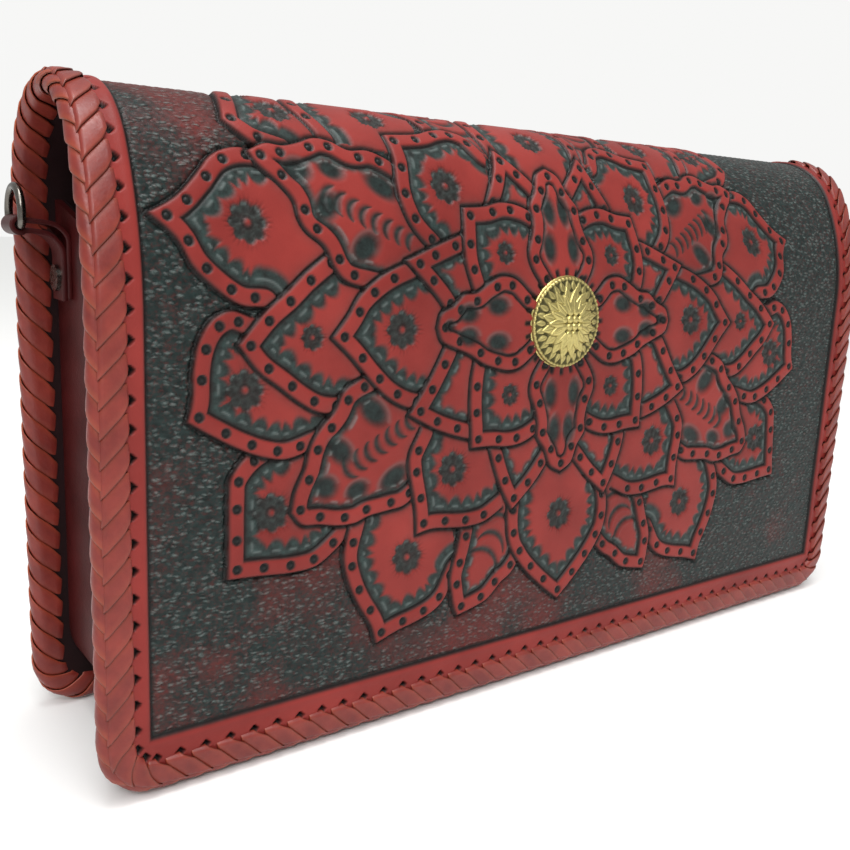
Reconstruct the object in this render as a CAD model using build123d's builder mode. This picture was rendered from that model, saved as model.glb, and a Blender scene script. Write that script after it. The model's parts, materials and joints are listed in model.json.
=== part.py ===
from build123d import *
from math import cos, degrees, radians, sin
import os

os.makedirs("parts", exist_ok=True)

# Hand-laced leather flap bag, millimetres. +X along the width, the front faces -Y, +Z up.
# Origin: middle of the width and of the depth, on the surface that the bag stands on.

# ---- driving dimensions ----
lace_pitch = 6.0                 # from one lacing hole to the next
pitches_across = 42              # between the two side columns of holes
hole_inset = 6.4                 # lacing hole to the cut edge of the leather
lace_wrap = 2.0                  # the braid stands this far outside the cut edge
lace_rise = 1.0                  # and this far above each face
leather = 2.8                    # tooled outer leather
lining = 1.2                     # lining of the back, the fold and the flap
body_depth = 55.0                # front face of the flap to back face of the back
crown_height = 153.0             # top of the leather over the fold
shoulder_radius = 76.0           # the flap leans back slowly,
shoulder_angle = 27.0            # through this angle,
crown_run = 30.0                 # and reaches its highest line this far behind its face
back_radius = 25.0               # round the top of the back
hinge_gap = 3.8                  # each side of a bending line
corner_radius = 11.0             # corners of the leather
flap_lift = 0.5                  # the flap's edge hangs clear of the table
concho_diameter = 25.0
concho_rise = 4.0
concho_height = 101.5
concho_x = -7.5                  # the flower is a little left of the middle of the flap
snap_height = 46.0
flap_gap = 5.0                   # flap lining to front panel, where the snap is
front_leather = 2.2
front_lining = 0.8
front_half_width = 127.0
front_top = 116.0
gusset_leather = 1.6
gusset_lining = 0.8
tab_leather = 1.1
tab_width = 8.0
ring_wire = 1.8
ring_centre = 17.0               # Y of the middle of each D-ring
ring_out = 135.8                 # X of the bar of each D-ring
ring_bar_height = 121.6

# ---- what follows from them ----
sheet = leather + lining
sheet_half = lace_pitch * pitches_across / 2 + hole_inset
lace_half = sheet_half + lace_wrap
lace_cover = hole_inset + lace_wrap + 0.8
tab_reach = ring_wire / 2 + 0.2 + tab_leather
front_y = -(body_depth - concho_rise + lace_rise) / 2
back_y = front_y + body_depth
crown_radius = (crown_run - shoulder_radius * (1 - cos(radians(shoulder_angle)))) / cos(radians(shoulder_angle))
crown_centre = (front_y + crown_run, crown_height - crown_radius)
back_centre = (front_y + crown_run, crown_height - back_radius)
shoulder_base = crown_centre[1] - (shoulder_radius - crown_radius) * sin(radians(shoulder_angle))
shoulder_centre = (front_y + shoulder_radius, shoulder_base)
crown_gap = degrees(hinge_gap / (crown_radius - sheet / 2))
back_gap = degrees(hinge_gap / (back_radius - sheet / 2))
edge_z = lace_wrap
flap_edge_z = flap_lift + lace_wrap
front_face = front_y + sheet + flap_gap
front_back = front_face + front_leather + front_lining


def on_arc(centre, radius, angle):
    """Point of the bag's section on an arc, angle measured from +Y towards +Z."""
    return (centre[0] + radius * cos(radians(angle)), centre[1] + radius * sin(radians(angle)))


fold_axis_back = on_arc(back_centre, back_radius - sheet / 2, 45)
fold_axis_front = on_arc(crown_centre, crown_radius - sheet / 2, 135)
print("bending line at the back", fold_axis_back, "at the front", fold_axis_front)


def flap_line(depth, bottom):
    """The flap in section, a given depth under its grain side, from its edge to the bending line."""
    Line((front_y + depth, bottom), (front_y + depth, shoulder_base))
    CenterArc(shoulder_centre, shoulder_radius - depth, 180, -shoulder_angle)
    end = 135 + crown_gap
    CenterArc(crown_centre, crown_radius - depth, 180 - shoulder_angle, end - 180 + shoulder_angle)
    return (front_y + depth, bottom), on_arc(crown_centre, crown_radius - depth, end)


def fold_line(depth):
    """The strip over the top in section, between the two bending lines."""
    start = 135 - crown_gap
    end = 45 + back_gap
    CenterArc(crown_centre, crown_radius - depth, start, 90 - start)
    CenterArc(back_centre, back_radius - depth, 90, end - 90)
    return on_arc(crown_centre, crown_radius - depth, start), on_arc(back_centre, back_radius - depth, end)


def back_line(depth, bottom):
    """The back in section, from the bending line down to its lower edge."""
    start = 45 - back_gap
    CenterArc(back_centre, back_radius - depth, start, -start)
    Line((back_y - depth, back_centre[1]), (back_y - depth, bottom))
    return on_arc(back_centre, back_radius - depth, start), (back_y - depth, bottom)


def layer(line, outer, inner, half_width, *bottom):
    """A layer of the bag that follows a section line, between two depths under the grain side."""
    with BuildPart() as result:
        with BuildSketch(Plane.YZ):
            with BuildLine():
                outer_ends = line(outer, *bottom)
                inner_ends = line(inner, *bottom)
                Line(outer_ends[0], inner_ends[0])
                Line(outer_ends[1], inner_ends[1])
            make_face()
        extrude(amount=half_width, both=True)
    return result.part


def round_lower_corners(builder, radius):
    """Round the two lower corners of a flat panel."""
    fillet(builder.edges().filter_by(Axis.Y).group_by(Axis.Z)[0], radius)


def save(builder, name):
    builder.part.label = name
    export_step(builder.part, f"parts/{name}.step")


# ---- flap: tooled leather and its lining ----
screw_hole = 2.1
with BuildPart() as flap_leather_part:
    add(layer(flap_line, 0, leather, sheet_half, flap_edge_z))
    round_lower_corners(flap_leather_part, corner_radius)
    with Locations(Plane(origin=(concho_x, front_y, concho_height), z_dir=(0, -1, 0))):
        Hole(screw_hole)
save(flap_leather_part, "flap_leather")

stud_washer_radius = 7.0
stud_washer_thickness = 0.5
stud_hole = 1.6
with BuildPart() as flap_lining_part:
    add(layer(flap_line, leather, sheet, sheet_half, flap_edge_z))
    round_lower_corners(flap_lining_part, corner_radius)
    with Locations(Plane(origin=(concho_x, front_y, concho_height), z_dir=(0, -1, 0))):
        Hole(screw_hole)
    with BuildSketch(Plane.XZ.offset(-front_y - leather)):
        with Locations((0, snap_height)):
            Circle(stud_washer_radius)
    extrude(amount=-stud_washer_thickness, mode=Mode.SUBTRACT)
    with Locations(Plane(origin=(0, front_y, snap_height), z_dir=(0, -1, 0))):
        Hole(stud_hole)
save(flap_lining_part, "flap_lining")


def edge_lace(line, bottom, edge):
    """The braid round a panel's two sides and lower edge: a channel that holds both layers."""
    with BuildPart() as core:
        add(layer(line, 0, sheet, sheet_half, edge))
        round_lower_corners(core, corner_radius)
    with BuildPart() as window:
        add(layer(line, -5, sheet + 5, lace_half - lace_cover, bottom + lace_cover))
        round_lower_corners(window, corner_radius + lace_wrap - lace_cover)
    with BuildPart() as braid:
        add(layer(line, -lace_rise, sheet + lace_rise, lace_half, bottom))
        round_lower_corners(braid, corner_radius + lace_wrap)
        add(core.part, mode=Mode.SUBTRACT)
        add(window.part, mode=Mode.SUBTRACT)
    return braid


save(edge_lace(flap_line, flap_lift, flap_edge_z), "flap_lace")

# ---- fold: the strip over the top, between the two bending lines ----
with BuildPart() as fold_leather_part:
    add(layer(fold_line, 0, leather, sheet_half))
save(fold_leather_part, "fold_leather")

with BuildPart() as fold_lining_part:
    add(layer(fold_line, leather, sheet, sheet_half))
save(fold_lining_part, "fold_lining")

for side, name in ((-1, "fold_lace_left"), (1, "fold_lace_right")):
    with BuildPart() as fold_lace:
        add(layer(fold_line, -lace_rise, sheet + lace_rise, lace_half))
        add(layer(fold_line, 0, sheet, sheet_half), mode=Mode.SUBTRACT)
        cut = Plane.YZ.offset(side * (lace_half - lace_cover))
        split(bisect_by=cut, keep=Keep.TOP if side > 0 else Keep.BOTTOM)
    save(fold_lace, name)

# ---- back: leather, lining and braid ----
with BuildPart() as back_leather_part:
    add(layer(back_line, 0, leather, sheet_half, edge_z))
    round_lower_corners(back_leather_part, corner_radius)
save(back_leather_part, "back_leather")

with BuildPart() as back_lining_part:
    add(layer(back_line, leather, sheet, sheet_half, edge_z))
    round_lower_corners(back_lining_part, corner_radius)
save(back_lining_part, "back_lining")

save(edge_lace(back_line, 0, edge_z), "back_lace")

# ---- front panel, behind the flap ----
socket_post_radius = 1.6
socket_washer_radius = 7.0
socket_washer_thickness = 0.4


def front_sheet(near, far):
    """A layer of the front panel between two depths behind its face."""
    with BuildPart() as result:
        with BuildSketch(Plane.XZ.offset(-front_face - near)):
            with Locations((0, (front_top + edge_z) / 2)):
                Rectangle(2 * front_half_width, front_top - edge_z)
        extrude(amount=near - far)
        round_lower_corners(result, corner_radius)
    return result.part


with BuildPart() as front_leather_part:
    add(front_sheet(0, front_leather))
    with Locations(Plane(origin=(0, front_face, snap_height), z_dir=(0, -1, 0))):
        Hole(socket_post_radius)
save(front_leather_part, "front_leather")

with BuildPart() as front_lining_part:
    add(front_sheet(front_leather, front_leather + front_lining))
    with BuildSketch(Plane.XZ.offset(-front_face - front_leather)):
        with Locations((0, snap_height)):
            Circle(socket_washer_radius)
    extrude(amount=-socket_washer_thickness, mode=Mode.SUBTRACT)
save(front_lining_part, "front_lining")

front_lace_wrap = 2.0
front_lace_cover = 8.0


def front_frame(thickness_from, thickness_to, grow, bottom, top):
    """A plain plate that follows the outline of the front panel, larger by grow."""
    with BuildPart() as result:
        with BuildSketch(Plane.XZ.offset(-thickness_from)):
            with Locations((0, (top + bottom) / 2)):
                Rectangle(2 * (front_half_width + grow), top - bottom)
        extrude(amount=thickness_from - thickness_to)
        round_lower_corners(result, corner_radius + grow)
    return result.part


with BuildPart() as front_lace_part:
    add(front_frame(front_face - lace_rise, front_back + lace_rise, front_lace_wrap, 0, front_top))
    add(front_frame(front_face, front_back, 0, edge_z, front_top), mode=Mode.SUBTRACT)
    add(front_frame(front_face - 5, front_back + 5, front_lace_wrap - front_lace_cover,
                    front_lace_cover, front_top), mode=Mode.SUBTRACT)
save(front_lace_part, "front_lace")

# the binding along the mouth of the pocket
mouth_drop = 6.0
mouth_half = front_half_width + front_lace_wrap - front_lace_cover
with BuildPart() as mouth_binding:
    with BuildSketch(Plane.YZ):
        with Locations(((front_face + front_back) / 2, front_top)):
            Rectangle(front_leather + front_lining + 2 * lace_rise, 2 * mouth_drop)
        with Locations(((front_face + front_back) / 2, front_top - mouth_drop)):
            Rectangle(front_leather + front_lining, 2 * mouth_drop, mode=Mode.SUBTRACT)
        with Locations((0, front_top + lace_wrap + 50)):
            Rectangle(200, 100, mode=Mode.SUBTRACT)
    extrude(amount=mouth_half, both=True)
save(mouth_binding, "mouth_binding")

# ---- gusset: one U-shaped strip from the front panel to the back ----
gusset_half = lace_half - lace_cover - 0.2
gusset_bottom = lace_cover + 0.2
gusset_corner = 12.0
gusset_front = front_back + lace_rise
gusset_back = back_y - sheet
gusset_top_back = 127.5
gusset_top_front = 117.0
rivet_height = 110.0
rivet_hole = 1.5


def gusset_layer(outer, inner):
    """A layer of the gusset between two depths under its outer face."""
    with BuildPart() as result:
        for depth, mode in ((outer, Mode.ADD), (inner, Mode.SUBTRACT)):
            with BuildSketch(Plane.XZ.offset(-gusset_front)):
                with Locations((0, gusset_bottom + depth + 75)):
                    RectangleRounded(2 * (gusset_half - depth), 150, gusset_corner - depth)
            extrude(amount=gusset_front - gusset_back, mode=mode)
        with BuildSketch(Plane.YZ):
            with BuildLine():
                Polyline((gusset_front, 200), (gusset_front, gusset_top_front),
                         (gusset_back, gusset_top_back), (gusset_back, 200), close=True)
            make_face()
        extrude(amount=200, both=True, mode=Mode.SUBTRACT)
        with BuildSketch(Plane.YZ):
            with Locations((ring_centre, rivet_height)):
                Circle(rivet_hole)
        extrude(amount=200, both=True, mode=Mode.SUBTRACT)
    return result


save(gusset_layer(0, gusset_leather), "gusset_leather")
save(gusset_layer(gusset_leather, gusset_leather + gusset_lining), "gusset_lining")

# ---- side loops and D-rings ----
neck_half = tab_leather
tail_bottom = rivet_height - 5
ring_half = 5.6
ring_corner = 1.2
ring_leg = 2.7
cap_radius = 3.0
cap_thickness = 0.9

for side, name in ((-1, "left"), (1, "right")):
    bar_x = side * ring_out
    wall_x = side * gusset_half
    tail_x = wall_x + side * 2 * tab_leather
    section = Plane(origin=(0, ring_centre, 0), x_dir=(1, 0, 0), z_dir=(0, -1, 0))
    with BuildPart() as tab:
        with BuildSketch(section):
            with Locations((bar_x, ring_bar_height)):
                Circle(tab_reach)
            with Locations(((bar_x + wall_x) / 2, ring_bar_height)):
                Rectangle(abs(bar_x - wall_x), 2 * neck_half)
            with Locations(((wall_x + tail_x) / 2, (ring_bar_height + neck_half + tail_bottom) / 2)):
                Rectangle(2 * tab_leather, ring_bar_height + neck_half - tail_bottom)
            with Locations((bar_x, ring_bar_height)):
                Circle(ring_wire / 2 + 0.2, mode=Mode.SUBTRACT)
        extrude(amount=tab_width / 2, both=True)
        with BuildSketch(Plane.YZ):
            with Locations((ring_centre, rivet_height)):
                Circle(rivet_hole)
        extrude(amount=200, both=True, mode=Mode.SUBTRACT)
    save(tab, f"ring_tab_{name}")

    ring_plane = Plane(origin=(bar_x, ring_centre, ring_bar_height), x_dir=(0, 1, 0), z_dir=(1, 0, 0))
    with BuildPart() as ring:
        with BuildLine(ring_plane) as half_ring:
            Line((0, 0), (ring_half - ring_corner, 0))
            CenterArc((ring_half - ring_corner, ring_corner), ring_corner, -90, 90)
            Line((ring_half, ring_corner), (ring_half, ring_leg))
            CenterArc((0, ring_leg), ring_half, 0, 90)
        with BuildSketch(Plane(origin=(bar_x, ring_centre, ring_bar_height), z_dir=(0, 1, 0))):
            Circle(ring_wire / 2)
        sweep(path=half_ring.line)
        mirror(about=Plane.XZ.offset(-ring_centre))
    save(ring, f"ring_{name}")

# one rivet holds each loop to the gusset
rivet_inside = gusset_half - gusset_leather - gusset_lining
rivet_outside = gusset_half + 2 * tab_leather
with BuildPart() as tab_rivets:
    for side in (-1, 1):
        with BuildSketch(Plane.YZ.offset(side * (rivet_inside - cap_thickness))):
            with Locations((ring_centre, rivet_height)):
                Circle(cap_radius)
        extrude(amount=side * cap_thickness)
        with BuildSketch(Plane.YZ.offset(side * rivet_inside)):
            with Locations((ring_centre, rivet_height)):
                Circle(rivet_hole)
        extrude(amount=side * (rivet_outside - rivet_inside))
        with BuildSketch(Plane.YZ.offset(side * rivet_outside)):
            with Locations((ring_centre, rivet_height)):
                Circle(cap_radius)
        extrude(amount=side * cap_thickness)
save(tab_rivets, "tab_rivets")

# ---- concho and its screw ----
concho_rim = 1.6
dome_height = concho_rise - concho_rim
dome_radius = ((concho_diameter / 2) ** 2 + dome_height ** 2) / (2 * dome_height)
screw_head_radius = 4.5
screw_head_thickness = 1.3
concho_axis = Plane(origin=(concho_x, front_y, concho_height), x_dir=(1, 0, 0), z_dir=(0, -1, 0))
with BuildPart() as concho:
    with BuildSketch(Plane(origin=(concho_x, 0, concho_height))):
        with BuildLine():
            rim_front = (concho_diameter / 2, front_y - concho_rim)
            crown = (0, front_y - concho_rise)
            Polyline(crown, (0, front_y), (concho_diameter / 2, front_y), rim_front)
            RadiusArc(rim_front, crown, dome_radius)
        make_face()
    revolve(axis=Axis(concho_axis.origin, (0, 1, 0)))
save(concho, "concho")

with BuildPart() as concho_screw:
    with BuildSketch(concho_axis):
        Circle(2.0)
    extrude(amount=-sheet)
    with BuildSketch(concho_axis.offset(-sheet)):
        Circle(screw_head_radius)
    extrude(amount=-screw_head_thickness)
save(concho_screw, "concho_screw")

# ---- magnetic snap between the flap and the front panel ----
snap_radius = 8.5
stud_disc = 1.8
stud_boss = 1.2
stud_boss_radius = 2.5
socket_disc = 2.6
socket_recess = 1.6
socket_recess_radius = 4.2
stud_post = 1.2
snap_axis = Plane(origin=(0, front_y + sheet, snap_height), x_dir=(1, 0, 0), z_dir=(0, -1, 0))
with BuildPart() as snap_stud:
    with BuildSketch(snap_axis):
        Circle(snap_radius)
    extrude(amount=-stud_disc)
    fillet(snap_stud.edges().sort_by(Axis.Y)[-1], 0.4)
    with BuildSketch(snap_axis.offset(-stud_disc)):
        Circle(stud_boss_radius)
    extrude(amount=-stud_boss)
    with BuildSketch(snap_axis):
        Circle(socket_post_radius)
    extrude(amount=lining - stud_washer_thickness)
save(snap_stud, "snap_stud")

with BuildPart() as snap_stud_washer:
    with BuildSketch(snap_axis.offset(lining - stud_washer_thickness)):
        Circle(stud_washer_radius)
    extrude(amount=stud_washer_thickness)
save(snap_stud_washer, "snap_stud_washer")

socket_axis = Plane(origin=(0, front_face, snap_height), x_dir=(1, 0, 0), z_dir=(0, -1, 0))
with BuildPart() as snap_socket:
    with BuildSketch(socket_axis):
        Circle(snap_radius)
    extrude(amount=socket_disc)
    fillet(snap_socket.edges().sort_by(Axis.Y)[0], 0.4)
    with BuildSketch(socket_axis.offset(socket_disc)):
        Circle(socket_recess_radius)
    extrude(amount=-socket_recess, mode=Mode.SUBTRACT)
    with BuildSketch(socket_axis):
        Circle(socket_post_radius)
    extrude(amount=-front_leather)
save(snap_socket, "snap_socket")

with BuildPart() as snap_socket_washer:
    with BuildSketch(socket_axis.offset(-front_leather)):
        Circle(socket_washer_radius)
    extrude(amount=-socket_washer_thickness)
save(snap_socket_washer, "snap_socket_washer")
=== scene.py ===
"""Looks of the hand-laced leather flap bag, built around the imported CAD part.

Lengths are in millimetres in the bag's own frame and become metres in make_object().
x runs across the bag, and s is the length along the outside of its section: from the table up the
front, over the fold and down the back. Depth is measured inwards from that outside.
"""

import json
import math

import bpy
import numpy as np
from mathutils import Matrix, Vector


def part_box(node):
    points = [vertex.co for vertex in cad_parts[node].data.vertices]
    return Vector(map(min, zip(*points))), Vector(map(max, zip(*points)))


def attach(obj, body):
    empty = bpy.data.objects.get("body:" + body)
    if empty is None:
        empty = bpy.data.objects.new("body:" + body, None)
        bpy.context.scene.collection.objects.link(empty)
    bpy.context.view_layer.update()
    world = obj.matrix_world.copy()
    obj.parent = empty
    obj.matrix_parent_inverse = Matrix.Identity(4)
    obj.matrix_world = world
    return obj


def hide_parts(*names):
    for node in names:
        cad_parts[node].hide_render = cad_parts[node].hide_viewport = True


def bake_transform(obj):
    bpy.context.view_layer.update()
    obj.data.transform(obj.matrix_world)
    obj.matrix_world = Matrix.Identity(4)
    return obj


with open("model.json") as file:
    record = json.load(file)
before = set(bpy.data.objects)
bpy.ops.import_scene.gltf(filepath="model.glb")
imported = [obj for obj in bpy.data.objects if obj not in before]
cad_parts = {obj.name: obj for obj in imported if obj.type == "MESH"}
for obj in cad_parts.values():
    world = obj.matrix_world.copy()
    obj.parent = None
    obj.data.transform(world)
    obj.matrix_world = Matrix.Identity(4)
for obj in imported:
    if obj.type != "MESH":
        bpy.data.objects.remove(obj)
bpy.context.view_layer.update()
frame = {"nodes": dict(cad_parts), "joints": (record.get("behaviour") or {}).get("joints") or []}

MM = 0.001
random = np.random.default_rng(7)


def low(node):
    return np.array(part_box(node)[0]) / MM


def high(node):
    return np.array(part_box(node)[1]) / MM


# ---- sizes that the CAD part also uses ----
leather = 2.8
lining = 1.2
sheet = leather + lining
shoulder_radius = 76.0
shoulder_angle = math.radians(27)
crown_run = 30.0
back_radius = 25.0
corner_radius = 11.0
hole_inset = 6.4
lace_pitch = 6.0
lace_rise = 1.0

# ---- places read from the frame ----
front_y = low("flap_leather")[1]
back_y = high("back_leather")[1]
crown_z = high("fold_leather")[2]
sheet_half = high("flap_leather")[0]
lace_half = high("flap_lace")[0]
flap_edge = low("flap_leather")[2]
back_edge = low("back_leather")[2]
concho_z = (low("concho")[2] + high("concho")[2]) / 2
concho_radius = (high("concho")[2] - low("concho")[2]) / 2
concho_x = (high("concho")[0] + low("concho")[0]) / 2
joint_place = {j["name"]: np.array(j["pos_m"]) / MM for j in frame["joints"]}

# ---- the section ----
crown_radius = (crown_run - shoulder_radius * (1 - math.cos(shoulder_angle))) / math.cos(shoulder_angle)
crown_centre = np.array([front_y + crown_run, crown_z - crown_radius])
back_centre = np.array([front_y + crown_run, crown_z - back_radius])
shoulder_base = crown_centre[1] - (shoulder_radius - crown_radius) * math.sin(shoulder_angle)
s_shoulder = shoulder_base
s_crown_arc = s_shoulder + shoulder_radius * shoulder_angle
s_crown = s_crown_arc + crown_radius * (math.pi / 2 - shoulder_angle)
s_back = s_crown + back_radius * math.pi / 2
s_back_edge = s_back + back_centre[1] - back_edge


def section(s):
    """y and z of the outside of the bag at length s, and the outward normal there."""
    s = np.asarray(s, float)
    shoulder = (s - s_shoulder) / shoulder_radius
    crown = shoulder_angle + (s - s_crown_arc) / crown_radius
    back = (s - s_crown) / back_radius
    parts = [s < s_shoulder, s < s_crown_arc, s < s_crown, s < s_back]
    y = np.select(parts, [
        np.full_like(s, front_y),
        front_y + shoulder_radius * (1 - np.cos(shoulder)),
        crown_centre[0] - crown_radius * np.cos(crown),
        back_centre[0] + back_radius * np.sin(back),
    ], back_y)
    z = np.select(parts, [
        s,
        shoulder_base + shoulder_radius * np.sin(shoulder),
        crown_centre[1] + crown_radius * np.sin(crown),
        back_centre[1] + back_radius * np.cos(back),
    ], back_centre[1] - (s - s_back))
    ny = np.select(parts, [-np.ones_like(s), -np.cos(shoulder), -np.cos(crown), np.sin(back)], 1.0)
    nz = np.select(parts, [np.zeros_like(s), np.sin(shoulder), np.sin(crown), np.cos(back)], 0.0)
    return y, z, ny, nz


def on_bag(x, s, depth):
    """Point of the bag's wall: x across, s along the section, depth under the outside."""
    x, s, depth = np.broadcast_arrays(np.asarray(x, float), s, depth)
    y, z, ny, nz = section(s)
    return np.stack([x, y - ny * depth, z - nz * depth], axis=-1)


# ---- meshes ----
def make_object(name, points, faces, sharp=None):
    """A smooth-shaded mesh. faces is a list of index arrays, each with one row for a face."""
    mesh = bpy.data.meshes.new(name)
    corners = np.concatenate([np.asarray(f).ravel() for f in faces])
    counts = np.concatenate([np.full(len(f), np.asarray(f).shape[1]) for f in faces])
    starts = np.concatenate([[0], np.cumsum(counts)[:-1]])
    mesh.vertices.add(len(points))
    mesh.vertices.foreach_set("co", (np.asarray(points) * MM).astype(np.float32).ravel())
    mesh.loops.add(len(corners))
    mesh.loops.foreach_set("vertex_index", corners.astype(np.int32))
    mesh.polygons.add(len(counts))
    mesh.polygons.foreach_set("loop_start", starts.astype(np.int32))
    mesh.update(calc_edges=True)
    mesh.validate()
    mesh.shade_smooth()
    if sharp:
        mesh.set_sharp_from_angle(angle=math.radians(sharp))
    obj = bpy.data.objects.new(name, mesh)
    bpy.context.scene.collection.objects.link(obj)
    return obj


def attribute(obj, name, values):
    """A number at each vertex, for the materials."""
    layer = obj.data.attributes.new(name, "FLOAT", "POINT")
    layer.data.foreach_set("value", np.asarray(values, np.float32).ravel())


def grid_quads(rows, columns, first=0, flip=False):
    """Faces of a grid of rows x columns vertices."""
    index = first + np.arange(rows * columns).reshape(rows, columns)
    quads = np.stack([index[:-1, :-1], index[:-1, 1:], index[1:, 1:], index[1:, :-1]], -1).reshape(-1, 4)
    return quads[:, ::-1] if flip else quads


def shell(name, outer, inner, sharp=None):
    """A closed sheet between two grids of points with as many rows. The inner one may be coarser across."""
    rows, columns = outer.shape[:2]
    inside = inner.shape[1]
    a = np.arange(rows * columns).reshape(rows, columns)
    b = rows * columns + np.arange(rows * inside).reshape(rows, inside)
    faces = [grid_quads(rows, columns), grid_quads(rows, inside, rows * columns, flip=True)]
    for edge, column in ((0, 0), (-1, -1)):
        quads = np.stack([a[:-1, edge], a[1:, edge], b[1:, column], b[:-1, column]], -1)
        faces.append(quads if edge == 0 else quads[:, ::-1])
    faces.append(np.concatenate([b[0], a[0, ::-1]])[None])
    faces.append(np.concatenate([a[-1], b[-1, ::-1]])[None])
    points = np.concatenate([outer.reshape(-1, 3), inner.reshape(-1, 3)])
    return make_object(name, points, faces, sharp)


def loft(name, rings, sharp):
    """A closed tube through rings of points, with flat ends."""
    count, ring = rings.shape[:2]
    index = np.arange(count * ring).reshape(count, ring)
    follow = np.roll(index, -1, axis=1)
    quads = np.stack([index[:-1], follow[:-1], follow[1:], index[1:]], -1).reshape(-1, 4)
    return make_object(name, rings.reshape(-1, 3), [quads, index[0][::-1][None], index[-1][None]], sharp)


def flat_uv(obj, u, v):
    """The piece's own flat layout, which the materials read."""
    corner = np.zeros(len(obj.data.loops), np.int32)
    obj.data.loops.foreach_get("vertex_index", corner)
    layer = obj.data.uv_layers.new(name="OFBake")
    pairs = np.stack([u.ravel()[corner], v.ravel()[corner]], -1)
    layer.data.foreach_set("uv", pairs.astype(np.float32).ravel())


# ---- the lacing path ----
lace_edge_radius = sheet / 2 + lace_rise
edge_line_inset = lace_edge_radius - (lace_half - sheet_half)   # middle of the rounded edge, from the cut
front_arm = hole_inset - edge_line_inset


class EdgePath:
    """The middle line of a laced edge: down the left side, along the bottom and up the right side.
    Heights are measured from the bottom line. at(t) gives x, height and the outward direction."""

    def __init__(self, half, top, radius):
        self.half, self.top, self.radius = half, top, radius
        self.side = top - radius
        self.turn = radius * math.pi / 2
        self.bottom = 2 * (half - radius)
        self.length = 2 * (self.side + self.turn) + self.bottom
        self.stitches = round(self.length / lace_pitch)
        self.pitch = self.length / self.stitches

    def at(self, t):
        t = np.asarray(t, float)
        mirrored = t > self.length / 2
        t = np.where(mirrored, self.length - t, t)
        angle = np.clip((t - self.side) / self.radius, 0, math.pi / 2)
        run = np.clip(t - self.side - self.turn, 0, None)
        x = -(self.half - self.radius) - self.radius * np.cos(angle) + run
        height = np.where(t < self.side, self.top - t, self.radius * (1 - np.sin(angle)))
        nx, nh = -np.cos(angle), -np.sin(angle)
        return np.where(mirrored, -x, x), height, np.where(mirrored, -nx, nx), nh

    def holes(self):
        """x and height of each lacing hole."""
        x, height, nx, nh = self.at((np.arange(self.stitches) + 0.15) * self.pitch)
        return x - nx * front_arm, height - nh * front_arm


flap_path = EdgePath(sheet_half - edge_line_inset, s_crown - flap_edge - edge_line_inset,
                     corner_radius - edge_line_inset)
back_path = EdgePath(sheet_half - edge_line_inset, s_back_edge - edge_line_inset - s_crown,
                     corner_radius - edge_line_inset)


def flap_place(x, height, depth):
    return on_bag(x, flap_edge + edge_line_inset + height, depth)


def back_place(x, height, depth):
    return on_bag(x, s_back_edge - edge_line_inset - height, depth)


# ---- the tooled relief, one map for the whole hide ----
map_step = 0.35
map_columns = 2 * round(sheet_half / map_step) + 1
map_x = np.linspace(-sheet_half, sheet_half, map_columns)
crown_row = round((s_crown - flap_edge) / map_step)
row_step = (s_crown - flap_edge) / crown_row
map_rows = round((s_back_edge - flap_edge) / row_step) + 1
map_s = flap_edge + row_step * np.arange(map_rows)
map_s[-1] = s_back_edge

border_x = 122.5
border_front = 14.0
border_back = s_back_edge - 12.0
line_width = 0.46
band = 4.5                             # from a petal's outline to the line inside it
inner_band = band - 0.3                # the same on the four petals round the concho
plain_edge = -0.9                      # a scallop depth below 0 leaves the margin nearly plain
seed_inset = 2.3
seed_radius = 1.15
seed_pitch = 7.2
scallop_pitch = 5.0
stain_spread = (1.12, 1.3)             # dye runs this much past the tool that pressed an oval
hole_size = 1.35                       # half of a lacing hole's diagonal

height = np.zeros((map_rows, map_columns))
dye_and_shade = np.zeros_like(height)            # 0 bare red leather, 1 dark teal; also holds the painted shadow beside the petal outlines
ink = np.zeros_like(height)            # 1 black at the bottom of a cut
ground = np.ones_like(height)          # 1 where the background stamp was used
glint = np.zeros_like(height)          # 1 where a painted highlight lightens the dark dye


def window(u0, u1, v0, v1):
    """Slices of the map and its u, v there. u is x, and v is s from the middle of the flower."""
    columns = slice(*np.searchsorted(map_x, (u0, u1)))
    rows = slice(*np.searchsorted(map_s, (v0 + concho_z, v1 + concho_z)))
    u, v = np.meshgrid(map_x[columns], map_s[rows] - concho_z)
    return (rows, columns), u, v


def through(points, steps=7):
    """A smooth line through the points (Catmull-Rom)."""
    p = np.array(points, float)
    p = np.vstack([2 * p[0] - p[1], p, 2 * p[-1] - p[-2]])
    k = np.linspace(0, 1, steps, endpoint=False)[:, None]
    pieces = [
        0.5 * (2 * b + (c - a) * k + (2 * a - 5 * b + 4 * c - d) * k**2 + (3 * b - a - 3 * c + d) * k**3)
        for a, b, c, d in zip(p, p[1:], p[2:], p[3:])
    ]
    return np.vstack(pieces + [p[-2]])


def nearest(u, v, line):
    """Distance from each point to a line, and the length along the line of the nearest place."""
    best = np.full(u.shape, 1e9)
    along = np.zeros(u.shape)
    start = 0.0
    for (ax, ay), (bx, by) in zip(line[:-1], line[1:]):
        dx, dy = bx - ax, by - ay
        length = math.hypot(dx, dy)
        k = np.clip(((u - ax) * dx + (v - ay) * dy) / length**2, 0, 1)
        distance = (u - ax - k * dx) ** 2 + (v - ay - k * dy) ** 2
        closer = distance < best
        best[closer] = distance[closer]
        along[closer] = start + k[closer] * length
        start += length
    return np.sqrt(best), along


def inside(u, v, outline):
    """True inside a closed outline."""
    result = np.zeros(u.shape, bool)
    for (ax, ay), (bx, by) in zip(outline, np.roll(outline, -1, axis=0)):
        if ay != by:
            crosses = ((ay > v) != (by > v)) & (u < (bx - ax) * (v - ay) / (by - ay) + ax)
            result ^= crosses
    return result


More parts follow.
